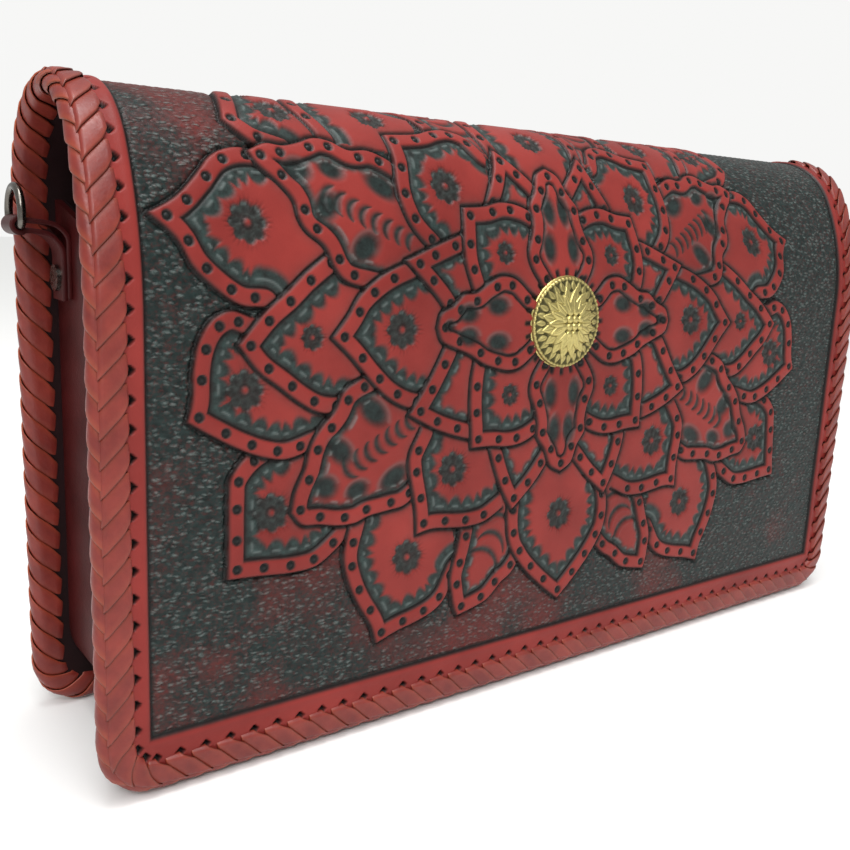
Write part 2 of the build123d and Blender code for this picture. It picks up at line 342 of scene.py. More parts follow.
def ramp(value, low_end, high_end):
    """0 below low_end, 1 above high_end, smooth between."""
    k = np.clip((value - low_end) / (high_end - low_end), 0, 1)
    return k * k * (3 - 2 * k)


def press(where, mask, depth=0.0, colour=None, black=None):
    """Push the leather down and stain it, where mask (0 to 1) says."""
    height[where] -= depth * mask
    if colour is not None:
        dye_and_shade[where] += (colour - dye_and_shade[where]) * mask
    if black is not None:
        ink[where] = np.maximum(ink[where], black * mask)


def oval(u0, v0, length, width, angle=0.0):
    """An oval hollow, dark, with a painted highlight on the lip of its upper side."""
    length, width = length * stain_spread[0], width * stain_spread[1]
    reach = length * 0.7 + 1
    where, u, v = window(u0 - reach, u0 + reach, v0 - reach, v0 + reach)
    a = math.radians(angle)
    along = (u - u0) * math.cos(a) + (v - v0) * math.sin(a)
    aside = -(u - u0) * math.sin(a) + (v - v0) * math.cos(a)
    r = np.hypot(along / (length / 2), aside / (width / 2))
    press(where, 1 - ramp(r, 0.45, 1.25), 0.6, 0.98, 0.4)
    # painted highlight along the upper side of the rim
    glint[where] = np.maximum(glint[where], 0.12 * np.exp(-((r - 0.95) / 0.14) ** 2) * (aside > 0))
    height[where] += 0.04 * np.exp(-((r - 1.25) / 0.15) ** 2)


def crescent(u0, v0, radius, angle, spread=75, width=0.95):
    """A curved veiner mark. angle is the direction that its back faces."""
    reach = radius + 1.5
    where, u, v = window(u0 - reach, u0 + reach, v0 - reach, v0 + reach)
    r = np.hypot(u - u0, v - v0)
    turn = np.degrees(np.arctan2(v - v0, u - u0)) - angle
    turn = np.abs((turn + 180) % 360 - 180)
    thick = width * np.clip(1 - (turn / spread) ** 2, 0.02, 1)
    mark = np.exp(-((r - radius) / thick) ** 2) * (turn < spread)
    press(where, mark, 0.45, 0.97, 0.3)
    height[where] += 0.14 * np.exp(-((r - radius + 1.3) / 0.4) ** 2) * (turn < spread * 0.8)


def crescents(start, end, count, radius):
    """A row of nested crescents from start to end, backs towards start."""
    start, end = np.array(start, float), np.array(end, float)
    angle = math.degrees(math.atan2(*(start - end)[::-1]))
    for k in np.linspace(0, 1, count):
        u0, v0 = start + (end - start) * k
        crescent(u0, v0, radius * (1 - 0.25 * k), angle)


def seed(u0, v0):
    """A round seeder mark: a dark ring with a small raised middle that carries a painted highlight."""
    where, u, v = window(u0 - 2.2, u0 + 2.2, v0 - 2.2, v0 + 2.2)
    r = np.hypot(u - u0, v - v0)
    press(where, 1 - ramp(r, seed_radius * 0.8, seed_radius * 1.15), 0.55, 1.0, 1.0)
    middle = np.exp(-((r / (seed_radius * 0.45)) ** 2))
    height[where] += 0.5 * middle
    # painted highlight on the raised middle
    glint[where] = np.maximum(glint[where] * (r > seed_radius), 0.22 * middle)


def rosette(u0, v0, radius):
    """A stamped flower: dark lobes round a bright seed, with fine rays outside."""
    reach = radius + 3
    where, u, v = window(u0 - reach, u0 + reach, v0 - reach, v0 + reach)
    r = np.hypot(u - u0, v - v0) / radius
    turn = np.arctan2(v - v0, u - u0)
    lobe = 0.5 + 0.5 * np.cos(8 * turn)
    edge = 0.82 + 0.18 * np.sqrt(lobe)
    disc = 1 - ramp(r, edge - 0.1, edge + 0.06)
    press(where, disc, 0.5 + 0.2 * lobe, 0.93)
    rays = np.clip(np.cos(32 * turn), 0, 1) * ramp(r, 0.3, 0.45)
    press(where, rays * (1 - ramp(r, edge + 0.02, edge + 0.4)), 0.2, None, 0.45)
    pip = np.exp(-((r / 0.16) ** 2))
    height[where] += 0.65 * pip
    dye_and_shade[where] -= 1.0 * pip
    ink[where] = np.maximum(ink[where], 0.8 * np.exp(-((r - 0.27) / 0.06) ** 2))
    ink[where] = np.maximum(ink[where], 0.55 * disc * np.exp(-((r - 0.62) / 0.2) ** 2) * lobe)
    # painted highlight on the upper edge of the lobes
    lip = 0.25 * np.exp(-((r - 0.85) / 0.08) ** 2) * (lobe > 0.6) * (v > v0)
    glint[where] = np.maximum(glint[where], lip)


def petal(tip, side_a, side_b, flower=None, band=band, scallop=3.5):
    """One petal: cut outline, seeded band, inner line and a scalloped dark margin inside it.
    Each side is a list of points from the tip; the open end lies under the petals above."""
    line_a, line_b = through([tip, *side_a]), through([tip, *side_b])
    line = np.vstack([line_a[::-1], line_b[1:]])
    root = 0.5 * (line[0] + line[-1]) * 0.75
    outline = np.vstack([line, root])
    reach = 5.0
    where, u, v = window(outline[:, 0].min() - reach, outline[:, 0].max() + reach,
                         outline[:, 1].min() - reach, outline[:, 1].max() + reach)
    distance, along = nearest(u, v, line)
    is_in = inside(u, v, outline)
    d = np.where(is_in, distance, -distance)
    along -= np.hypot(*np.diff(line_a, axis=0).T).sum()

    # the bevel just outside the petal: pressed down, with painted shadow darkening the leather beside the
    # outline
    outside = np.clip(-d, 0, None)
    shade = np.exp(-outside / 1.3) * (d < 0) * (outside < reach - 0.5)
    height[where] -= 0.35 * shade
    # painted shadow: dark teal fading out from the outline onto the petal below
    dye_and_shade[where] = np.maximum(dye_and_shade[where], 0.85 * np.exp(-outside / 0.9) * (d < 0))

    # the petal's own surface
    height[where] = np.where(is_in, 0.0, height[where])
    dye_and_shade[where] = np.where(is_in, 0.0, dye_and_shade[where])
    ink[where] = np.where(is_in, 0.0, ink[where])
    ground[where] = np.where(is_in, 0.0, ground[where])
    glint[where] = np.where(is_in, 0.0, glint[where])
    height[where] += 0.14 * np.clip(np.sin(math.pi * (d - 0.4) / (band - 0.4)), 0, 1) * (d > 0.4) * (d < band)

    # scalloped dark margin inside the inner line, with a raised crescent in each scallop that carries a
    # painted highlight
    wave = np.abs(np.sin(math.pi * along / scallop_pitch)) ** 0.7
    limit = band + 1.1 + scallop * (0.35 + 0.65 * wave)
    margin = is_in * ramp(d, band - 0.1, band + 0.25) * (1 - ramp(d, limit - 1.1, limit + 0.8))
    press(where, margin, 0.42, 0.97)
    lip = np.exp(-((d - band - 1.15 - 0.55 * wave) / 0.30) ** 2) * ramp(wave, 0.72, 0.95) * is_in
    if scallop > 0:
        height[where] += 0.34 * lip
        # painted highlight on the crescent
        glint[where] = np.maximum(glint[where], 0.38 * lip)
    fine = np.clip(np.sin(2 * math.pi * along / 0.85), 0, 1) * margin * ramp(d, limit - 2.2, limit - 0.6)
    press(where, fine, 0.10, None, 0.25)

    # the two cut lines
    for level, width, cut in ((0.0, line_width, 0.7), (band, line_width * 0.85, 0.6)):
        mark = np.exp(-(((d - level) / width) ** 2)) * (1 if level == 0 else is_in)
        press(where, mark, cut, 0.9, 1.0)

    # seeds along the band
    turn = 1 if signed_area(outline) > 0 else -1
    seed(*inward_from_tip(tip, line_a, line_b, seed_inset * 1.1))
    for side, sign in ((line_a, -turn), (line_b, turn)):
        steps = np.hypot(*np.diff(side, axis=0).T)
        reached = np.concatenate([[0], np.cumsum(steps)])
        for length in np.arange(seed_pitch * 1.3, reached[-1] - 1, seed_pitch):
            k = min(np.searchsorted(reached, length) - 1, len(steps) - 1)
            direction = (side[k + 1] - side[k]) / steps[k]
            place = side[k] + direction * (length - reached[k])
            normal = np.array([-direction[1], direction[0]]) * sign
            seed(*(place + normal * seed_inset))
    if flower:
        rosette(*flower)


def signed_area(outline):
    x, y = outline.T
    return 0.5 * np.sum(x * np.roll(y, -1) - y * np.roll(x, -1))


def inward_from_tip(tip, line_a, line_b, inset):
    """The point inside a tip at a given distance from both sides."""
    tip = np.array(tip, float)
    a = line_a[4] - tip
    b = line_b[4] - tip
    a, b = a / np.hypot(*a), b / np.hypot(*b)
    bisector = a + b
    if np.hypot(*bisector) < 0.3:
        bisector = -tip
    bisector /= np.hypot(*bisector)
    half_sine = max(0.55, abs(a[0] * bisector[1] - a[1] * bisector[0]))
    return tip + bisector * inset / half_sine


def flipped(points):
    """The same points above the middle instead of below it."""
    return [(u, -v) for u, v in points]


def across(points):
    """The same points on the other side of the upright middle line."""
    return [(-u, v) for u, v in points]


# Outlines of the left half of the flower, from the outer ring to the inner one. Each is a tip and the
# two sides that leave it. The right half is the mirror image. The points, and the places of the
# rosettes, ovals and crescents, were read by eye off a flattened view of the reference picture, and a
# separate script shifted and scaled them to millimetres.
K_low = ((-105.7, -55), [(-105, -46.5), (-104.3, -36.5), (-103.2, -31), (-98, -26), (-90, -23)],
         [(-97.6, -55.5), (-89.5, -56.2), (-83.4, -56), (-79.3, -54.5), (-73.4, -50.5), (-68, -46)])
K_high = ((-95, 47), [(-92, 43.5), (-88.6, 41), (-82, 39)],
          [(-93, 53.5), (-90.5, 61), (-88, 67), (-84, 71.5), (-77, 74)])
I_low = ((-65.2, -79.5), [(-58.6, -77.5), (-52.6, -76.3), (-46.5, -74.5), (-42.2, -71.5), (-38, -65)],
         [(-66.8, -74), (-70, -68.5), (-72.6, -63), (-74.3, -56.5), (-73.8, -51.5), (-71, -44)])
L_low = ((-113, -18.5), [(-111.4, -13.5), (-110.8, -7.5), (-109.1, -1.5), (-105.8, 3), (-101, 5), (-96, 3.5)],
         [(-107.3, -22), (-101, -25.5), (-94.8, -28), (-88.5, -29), (-80, -27)])
L_high = ((-117.6, 24.5), [(-110.9, 28), (-105.4, 32.8), (-100.8, 37.5), (-95.2, 40), (-88, 40.5)],
          [(-112.1, 19.5), (-108.9, 13.5), (-103.6, 8.5), (-98.5, 5.5), (-93, 5)])
H_low = ((-38.3, -77.5), [(-30.8, -76), (-26.6, -74.5), (-22.3, -71), (-18.1, -68.5), (-12, -62)],
         [(-39.5, -74.5), (-40.3, -70.5), (-40.7, -65.5), (-38.6, -59), (-36.5, -52)])
G_side = [(-5.9, -75.5), (-12.1, -70), (-16.5, -65), (-19.6, -59.5), (-20.3, -51.5), (-18, -42)]
G_low = ((0, -80), G_side, across(G_side))
E_left = ((-100, -2.6), [(-92.9, 4.5), (-87.4, 8.5), (-81.8, 13), (-74, 18)],
          [(-95.4, -8.5), (-90.1, -12.5), (-85, -16.3), (-79.8, -19), (-73, -20)])
J_low = ((-88.6, -41.6), [(-87.2, -36.5), (-84.4, -31.5), (-82.7, -26.5), (-79.9, -22.5), (-75.6, -18.5),
                          (-72.2, -13.5), (-64, -10)],
         [(-85.6, -45), (-80.8, -45.7), (-75.8, -46.7), (-70.6, -46.8), (-66.4, -45.6), (-60.2, -45),
          (-55, -44.2), (-48, -40)])
J_high = ((-91.6, 39.4), [(-86.3, 41.8), (-81.8, 41.6), (-77.3, 42.8), (-72.8, 44.5), (-68.3, 44),
                          (-63.9, 42), (-58, 42.3), (-50, 39)],
          [(-89.4, 35.8), (-85.5, 32.3), (-82.5, 28.5), (-81.9, 24.5), (-80.2, 21.5), (-76.1, 18.3),
           (-74, 13.5), (-70.5, 10.3), (-62, 8.5)])
F_low = ((-52, -52.6), [(-46.4, -51.9), (-38.3, -52.8), (-33.3, -53), (-28.1, -52.3), (-22, -49.5)],
         [(-52.1, -46.5), (-52.9, -41.5), (-54, -35.5), (-53.7, -31), (-50, -25)])
F_high = ((-51.6, 47.9), [(-41.1, 49.3), (-35.3, 51.5), (-29.6, 52.6), (-24.1, 50.5), (-20.5, 45)],
          [(-51.6, 40.5), (-52.8, 33.5), (-52.1, 27.5), (-49.7, 22.5), (-44, 17)])
D_left = ((-75.9, -1.9), [(-71.4, 3), (-68, 7.5), (-63.4, 11), (-57.9, 13.8), (-50, 16.5)],
          [(-70.8, -6.5), (-64.7, -13), (-59.7, -17.2), (-53.5, -20), (-46, -21)])
N_low = ((-54.1, -21.5), [(-44.5, -26.3), (-34.2, -29.5), (-26, -31)],
         [(-47.8, -13.5), (-41.8, -4.5), (-36, 3)])
N_high = ((-53.9, 15.8), [(-43.3, 19.8), (-33.8, 23), (-26, 25)],
          [(-44.3, 6.5), (-39.3, 0.5), (-33, -5)])
M_low = ((-18.7, -50.8), [(-10.7, -44.5), (-4.9, -38.5), (1, -32)],
         [(-23, -43.5), (-26.3, -35), (-28, -27)])
M_high = ((-16.9, 47), [(-10.5, 41), (-5.4, 36.3), (0, 30)],
          [(-19.8, 39.5), (-24.8, 31), (-28, 24)])
C_low = ((-33.6, -32), [(-26.1, -32.2), (-20.9, -32.8), (-15.7, -32.4), (-10.3, -30.5), (-4, -27)],
         [(-33.7, -26.5), (-34.1, -19.5), (-33.2, -11.5), (-30, -4)])
C_high = ((-33.4, 29.4), [(-26, 30), (-20.4, 31.3), (-14.9, 31), (-9.5, 29.3), (-4, 26)],
          [(-34.4, 23.5), (-35, 18.5), (-34.5, 13.5), (-32, 7)])
B_left = ((-44.8, -0.4), [(-43.4, 3.2), (-39.2, 5.2), (-36, 7.8), (-31.7, 8.3), (-27.6, 10.5), (-23, 12.4),
                          (-17.7, 11.6), (-13, 8), (-9, 5.5)],
          [(-43.2, -4), (-38.6, -6), (-33.8, -7.8), (-29.5, -10.2), (-24.2, -11.8),
           (-19.9, -12.4), (-15.4, -11.3),
           (-9, -7)])
A_side = [(-4.4, -39.6), (-6.6, -34.9), (-9.6, -31), (-9.6, -27.2), (-10.6, -23.3), (-12.7, -18.8),
          (-12, -14.5), (-8, -9)]
A_low = ((0, -42), A_side, across(A_side))


def raised(outline):
    """An outline mirrored from below the middle to above it."""
    tip, side_a, side_b = outline
    return (tip[0], -tip[1]), flipped(side_a), flipped(side_b)


def ovals(places):
    """Several ovals, each given as u, v, length, width and angle."""
    for place in places:
        oval(*place)


def paint_flower():
    """The left half of the flower and a little more, from the lowest petals to the highest."""
    large, small = 4.8, 3.1
    where, u, v = window(-30, 30, -30, 30)
    ground[where] = np.where(np.hypot(u, v) < 28, 0.0, ground[where])
    petal(*K_low, flower=(-93.4, -40.7, large))
    petal(*K_high, flower=(-79.5, 53, large))
    petal(*I_low, flower=(-54.8, -57.8, large))
    petal(*raised(I_low), flower=(-52, 54.5, large))
    petal(*L_low, flower=(-98.5, -12.4, large))
    petal(*L_high, flower=(-94.7, 23.2, large))
    for sign, outline in ((-1, H_low), (1, raised(H_low))):
        petal(*outline, scallop=1.2)
        for k, radius in enumerate((6.4, 5.4, 4.6)):
            crescent(-30.5 + 3.4 * k, sign * (66 - 5.2 * k), radius, -sign * 60, 80, 0.9)
    petal(*G_low, flower=(0, -54, large))
    petal(*raised(G_low), flower=(0, 51.5, large))
    petal(*E_left, flower=(-80.8, -1.6, small))
    petal(*J_low, scallop=0.6)
    ovals([(-64.3, -19.6, 9.5, 5.2, -38), (-74.2, -28.3, 8, 5, -40), (-58.6, -36.6, 10, 4.8, 28),
           (-69.8, -38.4, 7, 4.2, 20), (-78.6, -36.6, 6.5, 5, 10)])
    crescents((-70, -31.8), (-52, -22.5), 7, 3.2)
    petal(*J_high, scallop=0.6)
    ovals([(-64.8, 18.4, 9.5, 5.2, 38), (-73.8, 27.5, 8, 5, 42), (-57, 33.2, 10, 5.2, -28),
           (-70.6, 36.4, 7, 4.2, -18), (-79.5, 35.6, 7, 4.8, -8)])
    crescents((-71, 29), (-50, 19.5), 8, 3.2)
    petal(*F_low, flower=(-39.6, -36.6, large))
    petal(*F_high, flower=(-37.2, 34.3, large))
    petal(*D_left, flower=(-55.4, -0.6, large))
    for outline in (N_low, N_high, M_low, M_high):
        petal(*outline, scallop=1.6)
    petal(*C_low, flower=(-19.8, -18.6, small))
    petal(*C_high, flower=(-20.8, 18, small))
    petal(*B_left, band=inner_band, scallop=plain_edge)
    for u0, v0, length in ((-34.2, 2.9, 6.6), (-24.2, 4.6, 7.6)):
        ovals([(u0, -v0, length, 4.2), (u0, v0, length, 4.2)])
    oval(-40.6, 0, 3.4, 2.6)
    for sign, outline in ((-1, A_low), (1, raised(A_low))):
        petal(*outline, band=inner_band, scallop=plain_edge)
        for u0, v0, length in ((2.8, 29.5, 8.5), (4.6, 19.5, 8)):
            ovals([(-u0, sign * v0, length, 4, 90), (u0, sign * v0, length, 4, 90)])


def smooth_noise(shape, cell, octaves=1):
    """Soft random numbers, about -1 to 1, whose patches are cell map steps across."""
    total = np.zeros(shape)
    for octave in range(octaves):
        size = max(2, round(cell / 2**octave))
        coarse = random.standard_normal((shape[0] // size + 3, shape[1] // size + 3))
        r = np.arange(shape[0]) / size
        c = np.arange(shape[1]) / size
        ri, ci = r.astype(int), c.astype(int)
        rf, cf = ramp(r - ri, 0, 1)[:, None], ramp(c - ci, 0, 1)[None]
        upper = coarse[ri][:, ci] * (1 - cf) + coarse[ri][:, ci + 1] * cf
        lower = coarse[ri + 1][:, ci] * (1 - cf) + coarse[ri + 1][:, ci + 1] * cf
        total += (upper * (1 - rf) + lower * rf) / 2**octave
    return total * 0.6


def paint_ground():
    """The background stamp: rows of short dashes, rubbed through to red in places."""
    x, s = np.meshgrid(map_x, map_s)
    inside_border = ramp(border_x - np.abs(x), 0, 0.4) * ramp(s, border_front, border_front + 0.4)
    inside_border *= ramp(border_back - s, 0, 0.4)
    mask = ground * inside_border
    drift = smooth_noise(height.shape, 40, 2)
    row_phase = (s + 0.5 * drift) / 1.45
    dash = np.sin(2 * math.pi * row_phase)
    beat = np.sin(2 * math.pi * (x / 2.6 + 0.5 * np.floor(row_phase) + 0.35 * drift))
    weave = dash * (0.4 + 0.6 * beat)
    patches = smooth_noise(height.shape, 70, 3)
    rub = ramp(patches - 0.006 * (x + 60) - 0.012 * (s - 60) * (s < 130), 0.0, 1.2)
    stain = 0.97 - 0.62 * rub - 0.06 * weave - 0.08 * smooth_noise(height.shape, 5, 2)
    flat = np.where(mask > 0.5, 1.0, 0.0)
    return mask, flat, weave, stain


def paint_border():
    """The cut line round the tooled field, along both sides and both lower edges."""
    x = np.abs(map_x)[None]
    s = map_s[:, None]
    to_side = border_x - x
    to_end = np.minimum(s - border_front, border_back - s)
    d = np.minimum(to_side, to_end)
    mark = np.exp(-((d / line_width) ** 2))
    return mark, d


def paint_holes():
    """A diamond hole in the leather at each lacing hole."""
    for path, place in ((flap_path, 1), (back_path, -1)):
        for x, h in zip(*path.holes()):
            s = flap_edge + edge_line_inset + h if place > 0 else s_back_edge - edge_line_inset - h
            where, u, v = window(x - 2, x + 2, s - concho_z - 2, s - concho_z + 2)
            r = np.abs(u - x) / hole_size + np.abs(v + concho_z - s) / hole_size
            press(where, 1 - ramp(r, 0.7, 1.0), 1.4, 1.0, 1.0)


def settle(layer):
    """The flower as it lies on the hide: leaning a little, and narrower towards its upper right."""
    rows = []
    for v, row in zip(map_s - concho_z, layer):
        offset = map_x - (concho_x - flower_lean * np.clip(v, -80, 80))
        right_side = flower_scale - right_squeeze * ramp(v, -5, 35)
        rows.append(np.interp(offset / np.where(offset > 0, right_side, flower_scale), map_x, row))
    return np.array(rows)


flower_scale = 0.955
flower_lean = 0.06
right_squeeze = 0.10
paint_flower()
middle = map_columns // 2
for layer in (height, dye_and_shade, ink, ground, glint):
    layer[:, middle + 1:] = layer[:, :middle][:, ::-1]
height, dye_and_shade, ink, ground, glint = (settle(layer) for layer in (height, dye_and_shade, ink, ground, glint))
where, u, v = window(concho_x - 19, concho_x + 19, -19, 19)
u = u - concho_x
r = np.hypot(u, v)
turn = np.arctan2(v, u)
notch = np.clip(np.cos(24 * turn), 0, 1) * ramp(r, 12.0, 12.6) * (1 - ramp(r, 13.6, 14.9))
press(where, notch, 0.4, 0.9, 1.0)
ground_mask, ground_flat, weave, stain = paint_ground()
border_mark, border_distance = paint_border()
height += ground_mask * (-0.62 + 0.10 * weave)
dye_and_shade = np.where(ground_flat > 0, np.maximum(dye_and_shade, stain), dye_and_shade)
outside_field = border_distance < 0
for layer in (dye_and_shade, ink, ground, height, glint):
    layer[outside_field] = 0
press((slice(None), slice(None)), border_mark, 0.6, 0.9, 1.0)
height += 0.16 * np.exp(-((border_distance + 1.5) / 0.9) ** 2)
height += 0.05 * smooth_noise(height.shape, 60, 2)
paint_holes()
ground *= ground_mask > 0.5


# ---- materials ----
def material(name, roughness=0.45, metallic=0.0, coat=0.0, coat_roughness=0.3, specular=0.5):
    """A new node material and its helper."""
    made = bpy.data.materials.new(name)
    made.use_nodes = True
    tree = made.node_tree
    shader = tree.nodes["Principled BSDF"]
    shader.inputs["Roughness"].default_value = roughness
    shader.inputs["Metallic"].default_value = metallic
    shader.inputs["Coat Weight"].default_value = coat
    shader.inputs["Coat Roughness"].default_value = coat_roughness
    shader.inputs["Specular IOR Level"].default_value = specular
    return made, Nodes(tree, shader)


class Nodes:
    """Short ways to add and join shader nodes."""

    def __init__(self, tree, shader):
        self.tree, self.shader = tree, shader

    def add(self, kind, settings=None, **inputs):
        node = self.tree.nodes.new(kind)
        for key, value in (settings or {}).items():
            setattr(node, key, value)
        for key, value in inputs.items():
            self.put(node.inputs[key.replace("_", " ")], value)
        return node

    def put(self, socket, value):
        if isinstance(value, bpy.types.NodeSocket):
            self.tree.links.new(value, socket)
        else:
            socket.default_value = value

    def number(self, name):
        return self.add("ShaderNodeAttribute", {"attribute_name": name}).outputs["Fac"]

    def maths(self, operation, a, b=0.0, clamp=False):
        node = self.add("ShaderNodeMath", {"operation": operation, "use_clamp": clamp})
        self.put(node.inputs[0], a)
        self.put(node.inputs[1], b)
        return node.outputs[0]

    def mix(self, factor, a, b):
        node = self.add("ShaderNodeMix", {"data_type": "RGBA"})
        self.put(node.inputs[0], factor)
        self.put(node.inputs[6], a)
        self.put(node.inputs[7], b)
        return node.outputs[2]

    def blend_numbers(self, value, from_low, from_high, to_low, to_high):
        node = self.add("ShaderNodeMapRange", None, Value=value)
        ends = {"From Min": from_low, "From Max": from_high, "To Min": to_low, "To Max": to_high}
        for key, number in ends.items():
            node.inputs[key].default_value = number
        return node.outputs[0]

    def millimetres(self, size=None):
        """Millimetres: from the flat layout of a sheet of this size, or from the piece itself."""
        if size is None:
            source = self.add("ShaderNodeTexCoord").outputs["Object"]
            scale = (1 / MM,) * 3
        else:
            source = self.add("ShaderNodeUVMap", {"uv_map": "OFBake"}).outputs["UV"]
            scale = (size[0], size[1], 1)
        node = self.add("ShaderNodeVectorMath", {"operation": "MULTIPLY"})
        self.put(node.inputs[0], source)
        node.inputs[1].default_value = scale
        return node.outputs[0]

    def noise(self, place, scale, detail=3.0, rough=0.55):
        node = self.add("ShaderNodeTexNoise", None, Vector=place, Scale=scale, Detail=detail, Roughness=rough)
        return node.outputs[0]

    def cells(self, place, scale, feature="F1"):
        return self.add("ShaderNodeTexVoronoi", {"feature": feature}, Vector=place, Scale=scale).outputs[0]

    def bump(self, value, strength, distance, normal=None):
        node = self.add("ShaderNodeBump", None, Height=value, Strength=strength, Distance=distance * MM)
        if normal is not None:
            self.put(node.inputs["Normal"], normal)
        return node.outputs[0]

    def finish(self, **sockets):
        for key, value in sockets.items():
            self.put(self.shader.inputs[key.replace("_", " ")], value)


def grain(n, place, strength=0.22):
    """Pores and fine creases of smooth leather."""
    pores = n.cells(place, 1.5)
    creases = n.noise(place, 0.9, 5, 0.7)
    return n.bump(creases, strength, 0.22, n.bump(pores, strength * 0.6, 0.12))


RED = (0.275, 0.032, 0.026, 1)
RED_DEEP = (0.165, 0.017, 0.014, 1)
TEAL = (0.006, 0.015, 0.014, 1)
TEAL_PALE = (0.028, 0.056, 0.052, 1)
GLINT = (0.21, 0.25, 0.24, 1)
# pale tops of the background flecks: partly wear, partly painted highlight
WORN_AND_HIGHLIT = (0.105, 0.125, 0.118, 1)
BLACK = (0.004, 0.003, 0.003, 1)


def tooled_leather(name, size):
    """Carved hide: red where it was left bare, dark teal where it was stained, black in the cuts.
    The background has small raised flecks, wider than high, rubbed red on top in places and elsewhere pale,
    partly from wear and partly a painted highlight, and darker in the grooves between them. Painted
    highlights also lie on the seeds, ovals, rosettes and scallop crescents, and painted shadow beside the
    petal outlines."""
    made, n = material(name, specular=0.2)
    place = n.millimetres(size)
    tone = n.blend_numbers(n.noise(place, 0.03, 4), 0.3, 0.7, 0, 1)
    red = n.mix(tone, RED_DEEP, RED)
    mottle = n.noise(place, 0.45, 4, 0.65)
    teal = n.mix(n.blend_numbers(mottle, 0.35, 0.75, 0, 1), TEAL, TEAL_PALE)
    field = n.number("ground")
    drift = n.add("ShaderNodeTexNoise", None, Vector=place, Scale=0.35, Detail=4.0)
    moved = n.add("ShaderNodeVectorMath", {"operation": "MULTIPLY_ADD"})
    n.put(moved.inputs[0], drift.outputs["Color"])
    moved.inputs[1].default_value = (2.0, 1.5, 0)
    n.put(moved.inputs[2], place)
    flattened = n.add("ShaderNodeVectorMath", {"operation": "MULTIPLY"})
    n.put(flattened.inputs[0], moved.outputs[0])
    flattened.inputs[1].default_value = (0.5, 1.0, 1)
    flecks = n.add("ShaderNodeTexVoronoi", None, Vector=flattened.outputs[0], Scale=1.0, Randomness=0.85)
    each = n.noise(place, 1.7, 2, 0.6)
    each = n.blend_numbers(each, 0.25, 0.5, 0, 1)
    raised = n.blend_numbers(flecks.outputs["Distance"], 0.18, 0.52, 1, 0)
    # pale tops of the flecks: partly worn, partly a painted highlight
    wear_and_highlight = n.maths("MULTIPLY", raised, each)
    wear_and_highlight = n.maths("MULTIPLY", wear_and_highlight, n.blend_numbers(mottle, 0.3, 0.6, 0.4, 1.0))
    speckle = n.maths("SUBTRACT", n.noise(place, 1.1, 3, 0.7), 0.5)
    speckle = n.maths("MULTIPLY", speckle, n.maths("MULTIPLY", field, 1.4))
    amount = n.maths("ADD", n.number("dye_and_shade"), speckle, clamp=True)
    stained = n.mix(amount, red, teal)
    stained = n.mix(n.maths("MULTIPLY", n.maths("MULTIPLY", wear_and_highlight, field), 0.85), stained, WORN_AND_HIGHLIT)
    groove = n.maths("MULTIPLY", n.maths("MULTIPLY", n.maths("SUBTRACT", 1.0, raised), field), 0.45)
    stained = n.mix(groove, stained, BLACK)
    # painted highlight: the glint attribute lightens the colour towards pale grey
    highlighted = n.mix(n.number("glint"), stained, GLINT)
    black = n.maths("SUBTRACT", n.number("ink"), n.number("glint"), clamp=True)
    colour = n.mix(black, highlighted, BLACK)
    rough = n.blend_numbers(amount, 0, 1, 0.45, 0.42)
    stamp = n.maths("MULTIPLY", raised, field)
    normal = n.bump(stamp, 0.8, 0.45, grain(n, place))
    n.finish(Base_Color=colour, Roughness=rough, Normal=normal)
    return made


def plain_leather(name, base, deep, size=None, roughness=0.42, strength=0.3):
    made, n = material(name, roughness=roughness, specular=0.22)
    place = n.millimetres(size)
    tone = n.blend_numbers(n.noise(place, 0.06, 5, 0.6), 0.3, 0.7, 0, 1)
    n.finish(Base_Color=n.mix(tone, deep, base), Normal=grain(n, place, strength))
    return made


def lace_leather(name):
    """Flat lace: worn pale along its edges, with painted shade where the strips meet and on their undersides.
    """
    made, n = material(name, coat=0.06, coat_roughness=0.35, specular=0.4)
    place = n.millimetres()
    tone = n.blend_numbers(n.noise(place, 0.12, 4, 0.6), 0.3, 0.7, 0, 1)
    base = n.mix(tone, (0.130, 0.013, 0.010, 1), (0.235, 0.030, 0.020, 1))
    worn = n.mix(n.number("wear"), base, (0.42, 0.095, 0.035, 1))
    # painted shade where the strips meet and under them
    colour = n.mix(n.number("gap_shade"), worn, (0.045, 0.008, 0.008, 1))
    rough = n.blend_numbers(n.noise(place, 1.2, 3), 0.3, 0.7, 0.34, 0.5)
    n.finish(Base_Color=colour, Roughness=rough, Normal=grain(n, place, 0.25))
    return made


def cloth_lining(name):
    made, n = material(name, roughness=0.85, specular=0.2)
    place = n.millimetres()
    suede = n.noise(place, 1.8, 5, 0.75)
    tone = n.blend_numbers(n.noise(place, 0.05, 4), 0.3, 0.7, 0, 1)
    base = n.mix(tone, (0.007, 0.002, 0.002, 1), (0.017, 0.003, 0.004, 1))
    n.finish(Base_Color=base, Normal=n.bump(suede, 0.35, 0.2))
    return made


def aged_brass(name):
    made, n = material(name, metallic=1.0)
    place = n.millimetres()
    spots = n.blend_numbers(n.noise(place, 0.9, 5, 0.7), 0.4, 0.7, 0, 1)
    bright = n.mix(spots, (0.58, 0.49, 0.19, 1), (0.44, 0.37, 0.14, 1))
    recess = n.maths("MULTIPLY", n.number("recess"), 0.93, clamp=True)
    colour = n.mix(recess, bright, (0.070, 0.065, 0.032, 1))
    rough = n.blend_numbers(recess, 0, 1, 0.38, 0.6)
    n.finish(Base_Color=colour, Roughness=rough, Normal=n.bump(n.noise(place, 3, 3), 0.12, 0.1))
    return made


